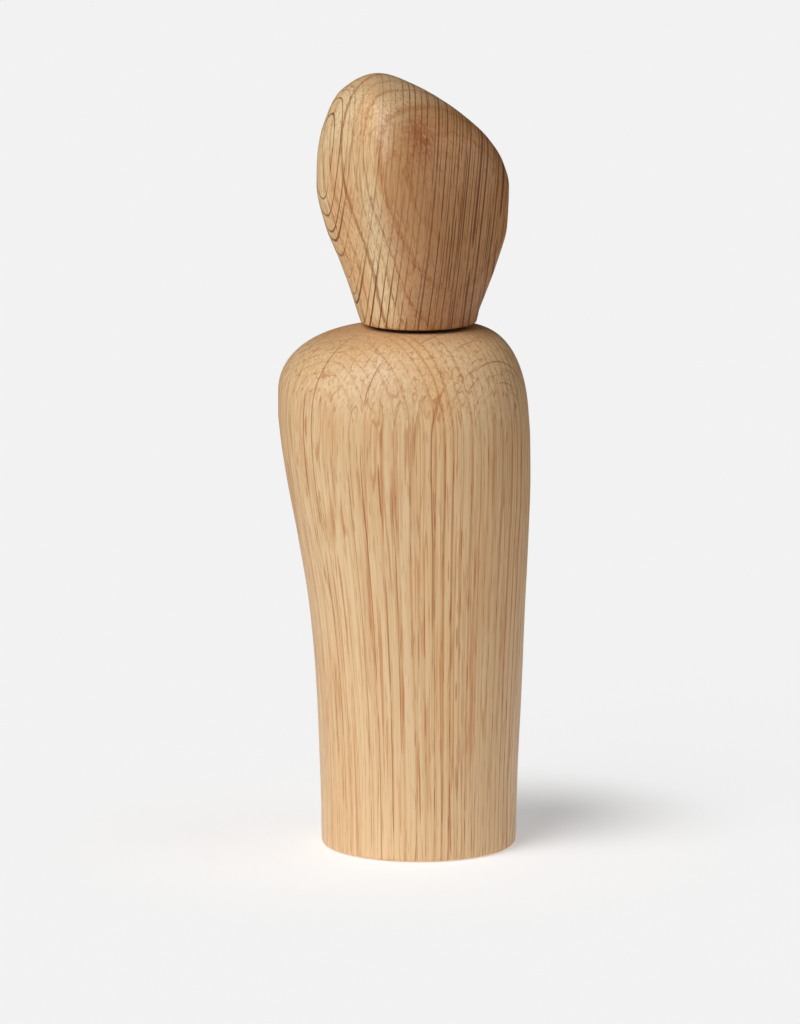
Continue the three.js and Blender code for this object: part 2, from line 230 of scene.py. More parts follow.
def combine(ob, others, operation):
    """joins (UNION) or cuts (DIFFERENCE) the other meshes into ob, and takes them away"""
    for o in others:
        mod = ob.modifiers.new("combine", "BOOLEAN")
        mod.operation, mod.solver, mod.object = operation, "EXACT", o
    done = bpy.data.meshes.new_from_object(ob.evaluated_get(bpy.context.evaluated_depsgraph_get()))
    ob.modifiers.clear()
    ob.data = done
    done.name = ob.name
    for o in others:
        bpy.data.objects.remove(o)
    return ob


def rounded(points, n=3):
    """(r, z, radius) corners of a closed outline, as (r, z) points with the corners rounded"""
    out = []
    for i, (r1, z1, rad) in enumerate(points):
        (r0, z0, _), (r2, z2, _) = points[i - 1], points[(i + 1) % len(points)]
        if rad <= 0 or r1 == 0:
            out.append((r1, z1))
            continue
        la, lb = math.hypot(r0 - r1, z0 - z1), math.hypot(r2 - r1, z2 - z1)
        d = min(rad, 0.45 * la, 0.45 * lb)
        p = (r1 + (r0 - r1) / la * d, z1 + (z0 - z1) / la * d)
        q = (r1 + (r2 - r1) / lb * d, z1 + (z2 - z1) / lb * d)
        for k in range(n + 1):
            t = k / n
            out.append(tuple((1 - t) ** 2 * p[j] + 2 * t * (1 - t) * (r1, z1)[j] + t * t * q[j] for j in (0, 1)))
    return out


def turned(points, segs=96, n=3):
    """rings of a turned piece: points are (r, z, corner radius)"""
    return [[(0.0, 0.0, z)] if r == 0 else circle(r, z, segs) for r, z in rounded(points, n)]


def finish_piece(ob, body, replaced, mat, angle=35):
    me = ob.data
    me.polygons.foreach_set("use_smooth", [True] * len(me.polygons))
    me.set_sharp_from_angle(angle=math.radians(angle))
    me.materials.clear()
    me.materials.append(mat)
    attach(ob, body)
    if replaced:
        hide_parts(*([replaced] if isinstance(replaced, str) else replaced))


def fillet(r_c, z_c, rad, a0, a1, n):
    """points of an arc (r, z) about (r_c, z_c); angles in degrees, 0 = outwards, 90 = up"""
    return [(r_c + rad * math.cos(math.radians(a0 + (a1 - a0) * i / n)),
             z_c + rad * math.sin(math.radians(a0 + (a1 - a0) * i / n))) for i in range(n + 1)]


# ------------------------------------------------------------------ node helpers
class G:
    """a thin writer for shader node graphs; every socket is a value or a node output"""

    def __init__(self, name):
        self.mat = bpy.data.materials.new(name)
        self.mat.use_nodes = True
        self.t = self.mat.node_tree
        self.t.nodes.clear()
        self.out = self.t.nodes.new("ShaderNodeOutputMaterial")
        self.bsdf = self.t.nodes.new("ShaderNodeBsdfPrincipled")
        self.t.links.new(self.bsdf.outputs[0], self.out.inputs[0])

    def node(self, kind, **props):
        n = self.t.nodes.new(kind)
        for k, v in props.items():
            setattr(n, k, v)
        return n

    def put(self, socket, v):
        if isinstance(v, bpy.types.NodeSocket):
            self.t.links.new(v, socket)
        elif isinstance(v, (tuple, list)) and socket.type == "RGBA" and len(v) == 3:
            socket.default_value = (*v, 1.0)
        else:
            socket.default_value = v

    def m(self, op, a, b=None, c=None, clamp=False):
        n = self.node("ShaderNodeMath", operation=op, use_clamp=clamp)
        self.put(n.inputs[0], a)
        if b is not None:
            self.put(n.inputs[1], b)
        if c is not None:
            self.put(n.inputs[2], c)
        return n.outputs[0]

    def v(self, op, a, b=None):
        n = self.node("ShaderNodeVectorMath", operation=op)
        self.put(n.inputs[0], a)
        if b is not None:
            self.put(n.inputs[3] if op == "SCALE" else n.inputs[1], b)
        return n.outputs["Value"] if op in ("DOT_PRODUCT", "LENGTH", "DISTANCE") else n.outputs[0]

    def xyz(self, x, y, z):
        n = self.node("ShaderNodeCombineXYZ")
        for s, val in zip(n.inputs, (x, y, z)):
            self.put(s, val)
        return n.outputs[0]

    def split(self, vec):
        n = self.node("ShaderNodeSeparateXYZ")
        self.put(n.inputs[0], vec)
        return n.outputs

    def noise(self, vec, scale=1.0, detail=2.0, rough=0.5, color=False):
        n = self.node("ShaderNodeTexNoise")
        self.put(n.inputs["Vector"], vec)
        n.inputs["Scale"].default_value = scale
        n.inputs["Detail"].default_value = detail
        n.inputs["Roughness"].default_value = rough
        return n.outputs["Color"] if color else n.outputs["Fac"]

    def voronoi(self, vec, rnd=1.0, feature="F1"):
        n = self.node("ShaderNodeTexVoronoi", feature=feature)
        self.put(n.inputs["Vector"], vec)
        n.inputs["Scale"].default_value = 1.0
        n.inputs["Randomness"].default_value = rnd
        return n.outputs

    def white(self, w):
        n = self.node("ShaderNodeTexWhiteNoise", noise_dimensions="1D")
        self.put(n.inputs["W"], w)
        return n.outputs

    def step(self, x, lo, hi, t0=0.0, t1=1.0, smooth=True):
        n = self.node("ShaderNodeMapRange", interpolation_type="SMOOTHSTEP" if smooth else "LINEAR", clamp=True)
        self.put(n.inputs[0], x)
        for s, val in zip(n.inputs[1:5], (lo, hi, t0, t1)):
            self.put(s, val)
        return n.outputs[0]

    def mix(self, fac, a, b, kind="MIX"):
        n = self.node("ShaderNodeMix", data_type="RGBA", blend_type=kind)
        self.put(n.inputs[0], fac)
        self.put(n.inputs[6], a)
        self.put(n.inputs[7], b)
        return n.outputs[2]

    def bump(self, height, strength, distance_mm):
        n = self.node("ShaderNodeBump")
        n.inputs["Strength"].default_value = strength
        n.inputs["Distance"].default_value = distance_mm * MM
        self.put(n.inputs["Height"], height)
        return n.outputs[0]

    def mm(self):
        """object position in mm about the mill axis"""
        tc = self.node("ShaderNodeTexCoord")
        p = self.v("SCALE", tc.outputs["Object"], 1.0 / MM)
        return self.v("SUBTRACT", p, (AX, 0.0, 0.0))


def lin(r, g, b):
    f = lambda c: c / 12.92 if c <= 0.04045 else ((c + 0.055) / 1.055) ** 2.4
    return (f(r / 255), f(g / 255), f(b / 255))


def azimuth(deg):
    """unit vector at an azimuth: 0 = front (-Y), 90 = right (+X)"""
    t = math.radians(deg)
    return (math.sin(t), -math.cos(t), 0.0)


# ------------------------------------------------------------------ oak
def oak(name, seed, ring, rays, tone, rough, patch=None):
    """solid oak: growth rings with open-pored early wood, and ray sheets across them.
    ring: az, mm, tilt, wander, early, fade, phase, amount; rays: one dict for each family of sheets;
    tone: light, band, warm, pore, ray colours and the strengths of pore and fibre"""
    g = G(name)
    P = g.mm()
    er = azimuth(ring["az"])
    off = (seed * 17.3, seed * 5.1, seed * 9.7)

    def warp(sx, sz, amount, detail=1.0):
        c = g.noise(g.v("ADD", g.v("MULTIPLY", P, (1 / sx, 1 / sx, 1 / sz)), off), 1.0, detail, 0.5, color=True)
        return g.v("MULTIPLY", g.v("SUBTRACT", c, (0.5, 0.5, 0.5)), (amount, amount, 0.0))

    def fold(at, az, amount, soft):
        """makes the sheets bend back on both sides of a vertical line, which turns broad arches into narrow Vs"""
        side = g.v("DOT_PRODUCT", at, azimuth(az + 90))
        return g.m("MULTIPLY", g.m("SQRT", g.m("MULTIPLY_ADD", side, side, soft * soft)), amount)

    def towards(az, lo, hi, a=0.0, b=1.0):
        """a at one side of the piece, b at the other"""
        return g.step(g.v("DOT_PRODUCT", P, azimuth(az)), lo, hi, a, b)

    slow = warp(30, 105, ring["wander"])
    Q = g.v("ADD", P, slow)                                  # grain that the rays follow
    if "follow" in ring:                                     # the billet is cut so that its grain keeps to the piece's front
        z0, z1, r0, r1, left, right = ring["follow"]
        up = g.step(g.split(P)[2], z0, z1, 1.0, r0 / r1)
        flare = g.step(g.split(P)[2], z0, z1, 0.0, 1.0)
        fx = g.m("SUBTRACT", g.split(Q)[0], AX)
        fx = g.m("ADD", g.m("MULTIPLY", g.m("MINIMUM", fx, 0.0), g.m("MULTIPLY_ADD", flare, left - 1.0, 1.0)),
                 g.m("MULTIPLY", g.m("MAXIMUM", fx, 0.0), g.m("MULTIPLY_ADD", flare, right - 1.0, 1.0)))
        Q = g.xyz(g.m("ADD", fx, AX), g.m("MULTIPLY", g.split(Q)[1], up), g.split(Q)[2])
    QR = g.v("ADD", Q, warp(2.4, ring.get("run", 34), ring.get("ragged", 0.62), 2.0))             # frayed grain that the rings follow
    x, y, z = g.split(QR)
    # growth rings: cylinders about a pith far behind the piece
    D = 115.0
    dx = g.m("ADD", x, D * er[0])
    dy = g.m("ADD", y, D * er[1])
    rad = g.m("SQRT", g.m("ADD", g.m("MULTIPLY", dx, dx), g.m("MULTIPLY", dy, dy)))
    rad = g.m("MULTIPLY_ADD", z, ring["tilt"], rad)
    rad = g.m("SUBTRACT", rad, fold(QR, ring["az"], ring["crease"], 2.0))
    vary = g.noise(g.xyz(g.m("MULTIPLY", rad, 0.16), seed, 0.0), 1.0, 1.0)
    t = g.m("ADD", g.m("DIVIDE", rad, ring["mm"]), g.m("MULTIPLY_ADD", vary, ring["vary"], ring["phase"]))
    f, k = g.m("FRACT", t), g.m("FLOOR", t)
    wk = g.white(g.m("ADD", k, seed * 3.3))
    jag = g.noise(g.v("ADD", g.v("MULTIPLY", Q, (1 / 0.45, 1 / 0.45, 1 / ring.get("jag", 9.0))), off), 1.0, 2.0, 0.6)
    fj = g.m("ADD", f, g.m("MULTIPLY", g.m("SUBTRACT", jag, 0.5), ring["fray"]))
    rise = g.step(fj, 0.01, 0.12)
    end = g.m("MULTIPLY", g.m("MULTIPLY_ADD", wk[0], 1.1, 0.45), ring["early"])
    fall = g.step(g.m("SUBTRACT", fj, end), 0.0, ring["fade"], 1.0, 0.0)
    E = g.m("MULTIPLY", rise, fall)
    tc = g.node("ShaderNodeTexCoord")

    def faced(line, az, lo, hi, keep):
        """a sheet cut along its own face shows as a pale, broad figure"""
        across = g.m("ABSOLUTE", g.v("DOT_PRODUCT", tc.outputs["Normal"], azimuth(az)))
        return g.m("MULTIPLY", line, g.step(across, lo, hi, 1.0, keep))

    def faint(line, sides, z0, z1, keep):
        """marks pale out above a height, on the side where all the given directions agree"""
        part = g.step(g.split(P)[2], z0, z1)
        for az, lo, hi in sides:
            part = g.m("MULTIPLY", part, towards(az, lo, hi, 0.0, 1.0))
        return g.m("MULTIPLY", line, g.m("MULTIPLY_ADD", part, keep - 1.0, 1.0))

    if "flat" in ring:
        E = faced(E, ring["az"], *ring["flat"])
    if "faint" in ring:
        E = faint(E, *ring["faint"])
    # open pores: long thin tubes, crowded in the early wood
    pv = g.voronoi(g.v("ADD", g.v("MULTIPLY", Q, (1 / 0.36, 1 / 0.36, 1 / ring.get("tube", 6.0))), off))
    rnd = g.split(pv["Color"])
    thr = g.m("MULTIPLY", g.step(E, 0.0, 1.0, ring["loose"], 0.42, smooth=False), g.m("MULTIPLY_ADD", rnd[0], 0.75, 0.5))
    pore = g.step(g.m("SUBTRACT", pv["Distance"], thr), -0.14, 0.03, 1.0, 0.0)

    # ray sheets: thin lenses across the rings, one in each slot
    def sheet(r, n):
        et = azimuth(r["az"])
        ep = azimuth(r["az"] + 90)
        qx, qy, qz = g.split(Q)
        v = g.m("MULTIPLY_ADD", qz, r.get("tilt", 0.0), g.v("DOT_PRODUCT", Q, et))
        v = g.m("SUBTRACT", v, fold(Q, r.get("fold_az", r["az"]), r.get("crease", 0.0), 2.0))
        rho = g.v("DOT_PRODUCT", Q, ep)
        u = g.m("ADD", g.m("DIVIDE", v, r["mm"]), r.get("phase", 0.0) + seed * 0.37 + n * 0.61)
        kk, ff = g.m("FLOOR", u), g.m("FRACT", u)
        w = g.white(g.m("ADD", kk, seed * 7.7 + n * 31.0))
        centre = g.m("MULTIPLY_ADD", w[0], r.get("jitter", 0.55), 0.5 - r.get("jitter", 0.55) / 2)
        dist = g.m("MULTIPLY", g.m("ABSOLUTE", g.m("SUBTRACT", ff, centre)), r["mm"])
        c = g.split(w[1])
        nn = g.noise(g.xyz(g.m("MULTIPLY_ADD", kk, 5.37, seed + n * 3.0), g.m("DIVIDE", qz, r["z"]), g.m("DIVIDE", rho, r["rho"])), 1.0, 1.0, 0.5)
        for az, lo, hi, gain in r.get("sides", ()):          # more unbroken sheets towards one side
            nn = g.m("ADD", nn, towards(az, lo, hi, 0.0, gain))
        env = g.step(nn, r["lo"], r["hi"])
        half = g.m("MULTIPLY", env, g.m("MULTIPLY_ADD", c[0], r["w"], r["w"] * 0.5))
        if "wide" in r:                                      # sheets met at a slant show wider
            half = g.m("MULTIPLY", half, towards(*r["wide"]))
        line = g.step(g.m("SUBTRACT", half, dist), -r["soft"], r["soft"])
        if "flat" in r:
            line = faced(line, r["az"], *r["flat"])
        if "faint" in r:
            line = faint(line, *r["faint"])
        return g.m("MULTIPLY", g.m("MULTIPLY", line, g.step(env, 0.0, 0.3)), g.m("MULTIPLY", g.m("MULTIPLY_ADD", c[1], 0.4, 0.6), r["k"]))

    ray = sheet(rays[0], 0)
    for n, r in enumerate(rays[1:], 1):
        ray = g.m("MAXIMUM", ray, sheet(r, n))
    # colour
    slowc = g.noise(g.v("ADD", g.v("MULTIPLY", P, (1 / 15, 1 / 15, 1 / 60)), (3.1, seed, 7.7)), 1.0, 2.0, 0.5)
    fibre = g.noise(g.v("ADD", g.v("MULTIPLY", Q, (1 / 0.6, 1 / 0.6, 1 / 60)), off), 1.0, 3.0, 0.6)
    light = g.mix(g.step(slowc, 0.42, 0.7), tone["light"], tone["warm"])
    base = g.mix(g.m("MULTIPLY", g.m("MULTIPLY", E, g.m("MULTIPLY_ADD", wk[0], 0.45, 0.55)), ring["amount"]), light, tone["band"])
    base = g.mix(g.step(fibre, 0.34, 0.72, 0.0, tone["fibre"]), base, tone["band"])
    if "painted_shade_side" in tone:                                       # painted shade: the colour darkens towards the side away from the key light
        az, lo, hi, amount, color = tone["painted_shade_side"]
        base = g.mix(towards(az, lo, hi, 0.0, amount), base, color)
    if "low" in tone:                                        # slightly darker towards the foot
        z0, z1, amount, color = tone["low"]
        base = g.mix(g.step(g.split(P)[2], z0, z1, amount, 0.0), base, color)
    if "end" in tone:                                        # upward faces darken: partly end grain taking up more oil, partly painted shade, such as the head's shade over the shoulder
        lo, hi, amount, color = tone["end"]
        base = g.mix(g.step(g.split(tc.outputs["Normal"])[2], lo, hi, 0.0, amount), base, color)
    if "streak" in tone:                                     # long thin vessels seen lengthwise
        width, length, amount, color = tone["streak"]
        sn = g.noise(g.v("ADD", g.v("MULTIPLY", Q, (1 / width, 1 / width, 1 / length)), (9.1, off[1], 2.2)), 1.0, 1.0, 0.4)
        thin = g.step(g.m("ABSOLUTE", g.m("SUBTRACT", sn, 0.5)), 0.012, 0.045, 1.0, 0.0)
        gate = g.noise(g.v("ADD", g.v("MULTIPLY", Q, (1 / 1.3, 1 / 1.3, 1 / 26)), off), 1.0, 2.0, 0.6)
        base = g.mix(g.m("MULTIPLY", thin, g.step(gate, 0.38, 0.58, 0.0, amount)), base, color)
    if patch:
        px, py, pz, rr, rz, amount = patch
        d = g.v("LENGTH", g.v("MULTIPLY", g.v("SUBTRACT", Q, (px, py, pz)), (1 / rr, 1 / rr, 1 / rz)))
        base = g.mix(g.m("MULTIPLY", g.step(d, 0.2, 1.0, 1.0, 0.0), g.step(fibre, 0.34, 0.6, amount * 0.15, amount)), base, tone["pore"])
    base = g.mix(g.m("MULTIPLY", pore, g.step(E, 0.0, 1.0, tone["pore_k"] * 0.5, tone["pore_k"], smooth=False)), base, tone["pore"])
    base = g.mix(ray, base, tone["ray"])
    g.put(g.bsdf.inputs["Base Color"], base)
    marks = g.m("MAXIMUM", g.m("MULTIPLY", pore, 0.9), g.m("MULTIPLY", ray, 0.35))
    g.put(g.bsdf.inputs["Roughness"], g.m("ADD", g.m("MULTIPLY", marks, 0.22), g.m("MULTIPLY_ADD", fibre, 0.12, rough)))
    g.bsdf.inputs["IOR"].default_value = 1.46
    g.put(g.bsdf.inputs["Normal"], g.bump(g.m("SUBTRACT", g.m("MULTIPLY_ADD", fibre, 0.25, 1.0), marks), 0.25, 0.12))
    return g.mat


OAK_BODY = oak(
    "oak_body", 1.0,
    dict(az=-43, mm=1.9, vary=1.0, tilt=0.0, crease=0.27, wander=0.9, early=0.155, fade=0.20, fray=0.19, phase=0.0, amount=0.88,
         loose=0.27, flat=(0.70, 0.97, 0.34), ragged=0.26, run=80, jag=28.0, tube=9.0, follow=(14.0, 108.0, 25.2, 29.6, 0.76, 0.90), faint=((), 104.0, 113.0, 0.66)),
    [dict(az=47, mm=2.7, z=24.0, rho=13.0, lo=0.50, hi=0.64, w=0.10, soft=0.06, k=0.80, sides=[(-50, 14.0, 24.0, 0.08)], flat=(0.88, 0.98, 0.1)),
     dict(az=47, mm=1.05, z=10.0, rho=8.0, lo=0.54, hi=0.70, w=0.07, soft=0.06, k=0.65, flat=(0.88, 0.98, 0.1))],
    dict(light=lin(243, 212, 166), band=lin(201, 136, 75), warm=lin(240, 200, 147), pore=lin(180, 104, 52), ray=lin(166, 98, 52),
         # the body's upward faces near the neck darken here, partly as painted shade
         pore_k=0.80, fibre=0.38, streak=(1.5, 120.0, 0.58, lin(196, 122, 62)), end=(0.72, 0.97, 0.42, lin(190, 138, 88)), low=(5.0, 95.0, 0.30, lin(212, 172, 124))),
    0.37)
OAK_HEAD = oak(
    "oak_head", 2.0,
    dict(az=33, mm=4.4, vary=1.1, tilt=0.17, crease=0.12, wander=1.3, early=0.12, fade=0.18, fray=0.42, phase=0.0, amount=0.74, loose=0.33,
         ragged=0.9, flat=(0.90, 0.985, 0.45)),
    [dict(az=-67, fold_az=-79, mm=1.62, z=13.0, rho=26.0, lo=0.36, hi=0.50, w=0.115, soft=0.05, k=0.96, tilt=0.10, crease=0.32, jitter=0.65,
          sides=[(-60, 11.0, 18.0, 0.12), (75, -4.0, 8.0, 0.07)], wide=(75, -8.0, 6.0, 1.0, 1.28),
          faint=(((-60, 5.0, 12.0), (90, -19.6, -18.2)), 142.0, 160.0, 0.40)),
     dict(az=-67, fold_az=-79, mm=0.81, z=12.0, rho=14.0, lo=0.43, hi=0.59, w=0.075, soft=0.05, k=0.82, tilt=0.10, crease=0.32,
          sides=[(-60, 0.0, 9.0, -0.3), (75, -4.0, 8.0, 0.05)], wide=(75, -8.0, 6.0, 1.0, 1.3),
          faint=(((-60, 5.0, 12.0),), 142.0, 160.0, 0.30))],
    dict(light=lin(255, 229, 180), band=lin(166, 98, 48), warm=lin(250, 206, 150), pore=lin(168, 88, 40), ray=lin(114, 58, 23),
         # painted shade in the head's tone: its right side darkens, and its upward faces darken in part
         pore_k=0.76, fibre=0.36, end=(0.55, 0.95, 0.40, lin(184, 124, 74)), painted_shade_side=(48, 2.0, 11.5, 0.68, lin(182, 115, 57)), streak=(1.3, 60.0, 0.36, lin(172, 98, 48))),
    0.30, patch=(0.5, -17.0, 184.5, 4.8, 24.0, 0.70))


# ------------------------------------------------------------------ oak pieces
SEG = 224
rings = []
# foot: softened edge, then the sides
for a in range(0, 7):
    t = math.radians(-90 + 90 * a / 6)
    z = 0.8 + 0.8 * math.sin(t)
    f = (24.05 + 0.8 * math.cos(t)) / 24.85
    rings.append([(x * f, y * f, z) for x, y, _ in body_ring(0.8, SEG)])
zs = [0.8 + (96 - 0.8) * i / 46 for i in range(1, 46)]
zs += [BODY_TOP - (BODY_TOP - 96) * (1 - math.sin(math.pi / 2 * i / 54)) for i in range(0, 54)]
rings += [body_ring(z, SEG) for z in zs]
rings += [body_ring(BODY_TOP - 0.004, SEG)]
rings += [[(x / math.hypot(x, y) * 11.5, y / math.hypot(x, y) * 11.5, BODY_TOP) for x, y, _ in body_ring(BODY_TOP - 0.004, SEG)]]
rings += [circle(r, z, SEG) for r, z in fillet(11.3, BODY_TOP - 0.5, 0.5, 90, 180, 4)]
rings += [circle(r, z, SEG) for r, z in
          [(10.8, 125), (10.8, 112), (13.0, 109.8), (13.0, 60), (13.0, 24.0), (20.5, 24.0), (20.5, 12), (20.5, 0.5), (20.9, 0.0)]]
ob = skin("oak_body", rings, closed=True)
combine(ob, [skin("pilot", turned([(0, 23.0, 0), (1.4, 23.0, 0), (1.4, 33.2, 0), (0, 33.5, 0)], 24), centre=polar(15.6, deg))
             for deg in (30, 150, 270)], "DIFFERENCE")
finish_piece(ob, "body", "body_shell", OAK_BODY)

rings = [[(0, 0, 162.0)], circle(4.0, 162.0, SEG), circle(5.5, 161.2, SEG), circle(5.5, 148, SEG), circle(5.5, 135.3, SEG), circle(5.8, 135.0, SEG)]
for a in range(0, 7):
    t = math.radians(-90 + 90 * a / 6)
    z = 135.8 + 0.8 * math.sin(t)
    f = (14.05 + 0.8 * math.cos(t)) / 14.85
    rings.append([(x * f, y * f, z) for x, y, _ in head_ring(135.8, SEG)])
N = 100
u0, u1 = -math.sqrt(HEAD_TOP - 135.8), 0.0
for i in range(1, N):
    u = u0 + (u1 - u0) * i / N
    rings.append(head_ring(HEAD_TOP - u * u, SEG))
rings.append([(-10.5, 0.0, HEAD_TOP)])
ob = skin("oak_head", rings)
combine(ob, [skin("pilot", turned([(0, 133.0, 0), (1.3, 133.0, 0), (1.3, 147.2, 0), (0, 147.5, 0)], 24), centre=(side * 7.6, 0.0))
             for side in (-1, 1)], "DIFFERENCE")
finish_piece(ob, "head", "head_block", OAK_HEAD)


# ------------------------------------------------------------------ plain materials for the rest
def simple(name, color, metallic, rough, grain=(1.0, 1.0, 1.0), grain_mm=0.5, vary=0.08, bump=0.1):
    g = G(name)
    P = g.mm()
    n = g.noise(g.v("MULTIPLY", P, tuple(k / grain_mm for k in grain)), 1.0, 3.0, 0.55)
    big = g.noise(P, 0.11, 2.0)
    dark = tuple(c * (1 - vary * 2) for c in color)
    g.put(g.bsdf.inputs["Base Color"], g.mix(g.m("MULTIPLY_ADD", n, 0.6, g.m("MULTIPLY", big, 0.4)), dark, color))
    g.put(g.bsdf.inputs["Roughness"], g.m("MULTIPLY_ADD", n, 0.16, rough - 0.08))
    g.bsdf.inputs["Metallic"].default_value = metallic
    g.put(g.bsdf.inputs["Normal"], g.bump(n, bump, 0.03))
    return g.mat


PLASTIC = simple("black_plastic", (0.018, 0.018, 0.020), 0.0, 0.42, grain_mm=0.25, bump=0.25)
CERAMIC = simple("ceramic", lin(226, 220, 208), 0.0, 0.55, grain_mm=0.35, vary=0.05, bump=0.2)
STEEL = simple("steel", (0.60, 0.60, 0.61), 1.0, 0.30, grain=(1, 1, 0.2), grain_mm=0.2)
BRONZE = simple("bronze", (0.52, 0.33, 0.14), 1.0, 0.45, grain_mm=0.15, bump=0.2)
ALU = simple("aluminium", (0.66, 0.67, 0.68), 1.0, 0.40, grain=(3, 3, 0.05), grain_mm=0.3)
RUBBER = simple("rubber", (0.012, 0.012, 0.012), 0.0, 0.6, grain_mm=0.3)


# ------------------------------------------------------------------ mechanism
TEETH = 14


def fluted(rows, z, segs, sign):
    """ring of a grinding face; rows are (z, tip, valley, twist), sign +1 for a bore and -1 for a cone"""
    i = 0
    while i < len(rows) - 2 and z > rows[i + 1][0]:
        i += 1
    (z0, a0, b0, t0), (z1, a1, b1, t1) = rows[i], rows[i + 1]
    t = (z - z0) / (z1 - z0)
    tip, valley, twist = a0 + (a1 - a0) * t, b0 + (b1 - b0) * t, t0 + (t1 - t0) * t
    out = []
    for n in range(segs):
        phi = 2 * math.pi * n / segs
        k = math.cos(TEETH * (phi + twist))
        r = (tip + valley) / 2 + sign * (valley - tip) / 2 * math.copysign(abs(k) ** 0.6, k)
        out.append((r * math.sin(phi), -r * math.cos(phi), z))
    return out


def bar(r0, r1, width, z0, z1, deg, bevel=0.25):
    """a bar running outwards from r0 to r1, with softened long edges"""
    s, c = math.sin(math.radians(deg)), -math.cos(math.radians(deg))

    def ring(inset, z):
        h = width / 2 - inset
        return [(u * s - v * c, u * c + v * s, z) for u, v in ((r0, -h), (r1, -h), (r1, h), (r0, h))]
    mid = (r0 + r1) / 2
    return [[(mid * s, mid * c, z0)], ring(bevel, z0), ring(0, z0 + bevel), ring(0, z1 - bevel), ring(bevel, z1), [(mid * s, mid * c, z1)]]


def lobed(r, z, segs=48):
    """ring of a six-lobed driver socket"""
    return [(r * (1 + 0.14 * math.cos(6 * p)) * math.sin(p), -r * (1 + 0.14 * math.cos(6 * p)) * math.cos(p), z)
            for p in (2 * math.pi * i / segs for i in range(segs))]


def wood_screw(head, neck_z, tip_z, under_z, r, pitch=1.1):
    """rings of a screw standing point up: head is (face z, edge z, face r, edge r), then a helical thread and a point"""
    face_z, edge_z, face_r, edge_r = head
    rings = [[(0, 0, face_z + 0.9)], lobed(0.55, face_z + 0.9), lobed(0.72, face_z + 0.12), lobed(0.82, face_z)]
    rings += [circle(q, z, 48) for q, z in ((face_r, face_z), (edge_r - 0.12, edge_z - 0.12), (edge_r, edge_z + 0.1), (edge_r, neck_z - 0.12), (edge_r - 0.12, neck_z))]
    rings += [circle(r * 0.80, neck_z, 48), circle(r * 0.78, neck_z + 1.0, 48)]
    n = int((tip_z - neck_z - 1.2) / 0.11)
    for i in range(n + 1):
        z = neck_z + 1.2 + (tip_z - 0.15 - neck_z - 1.2) * i / n
        end = max(0.08, min(1.0, (tip_z - z) / (tip_z - under_z)))
        ring = []
        for k in range(48):
            phi = 2 * math.pi * k / 48
            ph = (z / pitch - k / 48) % 1.0
            q = end * (r * 0.74 + r * 0.26 * max(0.0, 1 - abs(ph - 0.5) / 0.28) * min(1.0, (z - neck_z - 1.0) / 0.8))
            ring.append((q * math.sin(phi), -q * math.cos(phi), z))
        rings.append(ring)
    return rings + [[(0, 0, tip_z)]]


# --- grinder housing: a cup with a three-armed hub and three keys
parts = [skin("cup", turned([(17.9, 2.0, 0.25), (19.6, 2.0, 0.2), (20.1, 2.5, 0.3), (20.1, 23.7, 0.4), (12.5, 23.7, 0.4),
                             (12.5, 19.5, 0.4), (17.9, 19.5, 0.3)], 144), closed=True)]
extra = [skin("hub", turned([(3.5, 20.3, 0.15), (6.2, 20.3, 0.3), (6.2, 24.7, 0.4), (4.5, 24.7, 0.25), (4.5, 21.2, 0), (3.5, 21.2, 0)], 96), closed=True)]
for deg in (0, 120, 240):
    extra.append(skin("arm", bar(5.3, 13.2, 3.0, 20.34, 23.66, deg, 0.5)))
    extra.append(skin("key", bar(16.9, 18.6, 1.6, 6.6, 19.8, deg + 60, 0.2)))
ob = combine(parts[0], extra, "UNION")
holes = [skin("hole", turned([(0, 18.0, 0), (2.2, 18.0, 0), (2.2, 21.5, 0), (1.4, 21.5, 0), (1.4, 25.0, 0), (0, 25.0, 0)], 36), centre=polar(15.6, deg))
         for deg in (30, 150, 270)]
combine(ob, holes, "DIFFERENCE")
ob.name = ob.data.name = "housing"
finish_piece(ob, "body", "grinder_housing", PLASTIC)
for k, deg in enumerate((30, 150, 270)):
    loft(f"screw_{k + 1}", wood_screw((19.8, 20.3, 1.3, 1.9), 21.2, 32.6, 31.4, 1.1), "body", f"housing_screw_{k + 1}", STEEL, centre=polar(15.6, deg))
loft("bush", turned([(3.2, 21.5, 0.15), (4.2, 21.5, 0.2), (4.2, 24.6, 0.2), (3.2, 24.6, 0.15)], 96), "body", "shaft_bush", BRONZE, closed=True)
loft("washer", turned([(3.3, 25.0, 0.08), (5.8, 25.0, 0.12), (5.8, 25.5, 0.12), (3.3, 25.5, 0.08)], 96), "body", "thrust_washer", STEEL, closed=True)
loft("lock_ring", turned([(12.9, 3.2, 0.5), (17.1, 3.2, 0.3), (17.5, 3.6, 0.2), (17.5, 5.9, 0.25), (12.9, 5.9, 0.3)], 128),
     "body", "retaining_ring", PLASTIC, closed=True)

# --- fixed grinding ring, keyed into the housing
SEGF = TEETH * 24
ROWS = [(6.2, 12.2, 12.7, 0.0), (12.0, 11.5, 12.7, 0.04), (19.2, 12.6, 14.2, 0.1)]


def keyed(z, inset=0.0):
    out = []
    for n in range(SEGF):
        phi = 360.0 * n / SEGF
        off = min(abs((phi - a + 180) % 360 - 180) for a in (60, 180, 300))
        side = abs(16.2 * math.sin(math.radians(off))) if off < 30 else 99.0
        t = min(1.0, max(0.0, (side - 1.0) / 0.35))
        t = t * t * (3 - 2 * t)
        r = 15.05 + (17.5 - 15.05) * t - inset
        out.append((r * math.sin(math.radians(phi)), -r * math.cos(math.radians(phi)), z))
    return out


zs = [6.2 + 13.0 * i / 26 for i in range(27)]
rings = [keyed(6.2, 0.35), keyed(6.3, 0.1), keyed(6.55), keyed(18.85), keyed(19.1, 0.1), keyed(19.2, 0.35)]
rings += [fluted(ROWS, z, SEGF, 1) for z in reversed(zs)]
loft("grinding_ring", rings, "body", "stator_ring", CERAMIC, closed=True)

